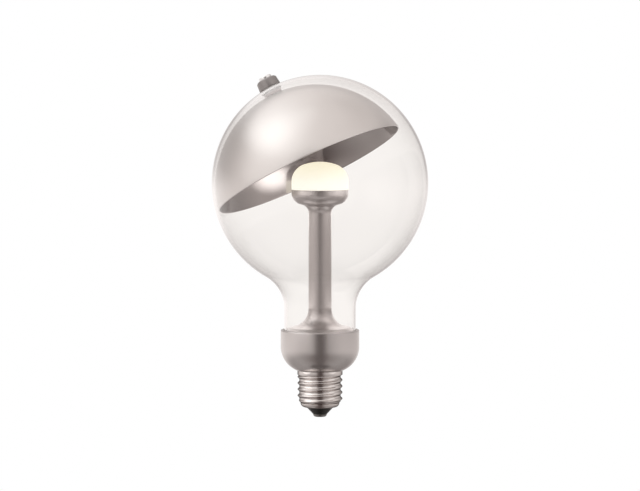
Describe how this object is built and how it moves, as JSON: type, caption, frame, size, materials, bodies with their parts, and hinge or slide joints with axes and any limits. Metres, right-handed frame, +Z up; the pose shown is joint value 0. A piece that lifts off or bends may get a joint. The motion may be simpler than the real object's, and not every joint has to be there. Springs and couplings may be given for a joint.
{
  "type": "led globe bulb",
  "caption": "Clear glass globe bulb with a screw cap, an LED head on a stem and a mirror dome inside the glass that a magnet knob slides round the light.",
  "frame": {"origin": "tip of the centre contact, on the bulb's axis", "axes": "+Z up the bulb's axis from the screw cap to the globe; the mirror dome leans towards -X, and its swing is in the XZ plane"},
  "size_m": [0.125, 0.125, 0.1984],
  "materials": {
    "clear_glass": "polished",
    "satin_collar": "satin",
    "cement": "matte",
    "nickel": "polished",
    "black_insulator": "gloss",
    "tinned_contact": "satin",
    "satin_stem": "satin",
    "opal": "satin",
    "white_board": "satin",
    "led_phosphor": "satin",
    "steel": "satin",
    "lead_insulation": "satin",
    "tinned_wire": "satin",
    "circuit_board": "satin",
    "capacitor_sleeve": "satin",
    "ferrite": "matte",
    "copper": "satin",
    "black_epoxy": "matte",
    "resistor_coat": "satin",
    "satin_reflector": "satin",
    "pale_holder": "satin",
    "magnet_nickel": "polished",
    "felt": "matte",
    "dark_knob": "satin",
    "bright_button": "polished"
  },
  "bodies": {
    "bulb": {"glass_globe": "clear_glass", "base_collar": "satin_collar", "neck_seal": "cement", "screw_shell": "nickel", "cap_insulator": "black_insulator", "centre_contact": "tinned_contact", "stem_column": "satin_stem", "light_diffuser": "opal", "led_board": "white_board", "led_chips": "led_phosphor", "board_screws": "steel", "led_leads": "lead_insulation", "driver_board": "circuit_board", "bulk_capacitor": "capacitor_sleeve", "choke_core": "ferrite", "choke_winding": "copper", "bridge_rectifier": "black_epoxy", "fuse_resistor": "resistor_coat", "driver_chip": "black_epoxy", "mains_leads": "tinned_wire"},
    "reflector": {"reflector_dome": "satin_reflector", "magnet_holder": "pale_holder", "reflector_magnet": "magnet_nickel", "reflector_pad": "felt"},
    "knob": {"knob_body": "dark_knob", "knob_button": "bright_button", "knob_magnet": "magnet_nickel", "knob_pad": "felt"}
  },
  "joints": [
    {"name": "reflector_tilt", "type": "hinge", "parent": "bulb", "child": "reflector", "pos_m": [0, 0, 0.1354], "axis": [0, 1, 0], "range_deg": [-64, 118]},
    {"name": "knob_travel", "type": "hinge", "parent": "bulb", "child": "knob", "pos_m": [0, 0, 0.1354], "axis": [0, 1, 0], "range_deg": [-64, 118]}
  ],
  "couplings": [
    {"joint": "knob_travel", "follows": "reflector_tilt", "ratio": 1}
  ]
}
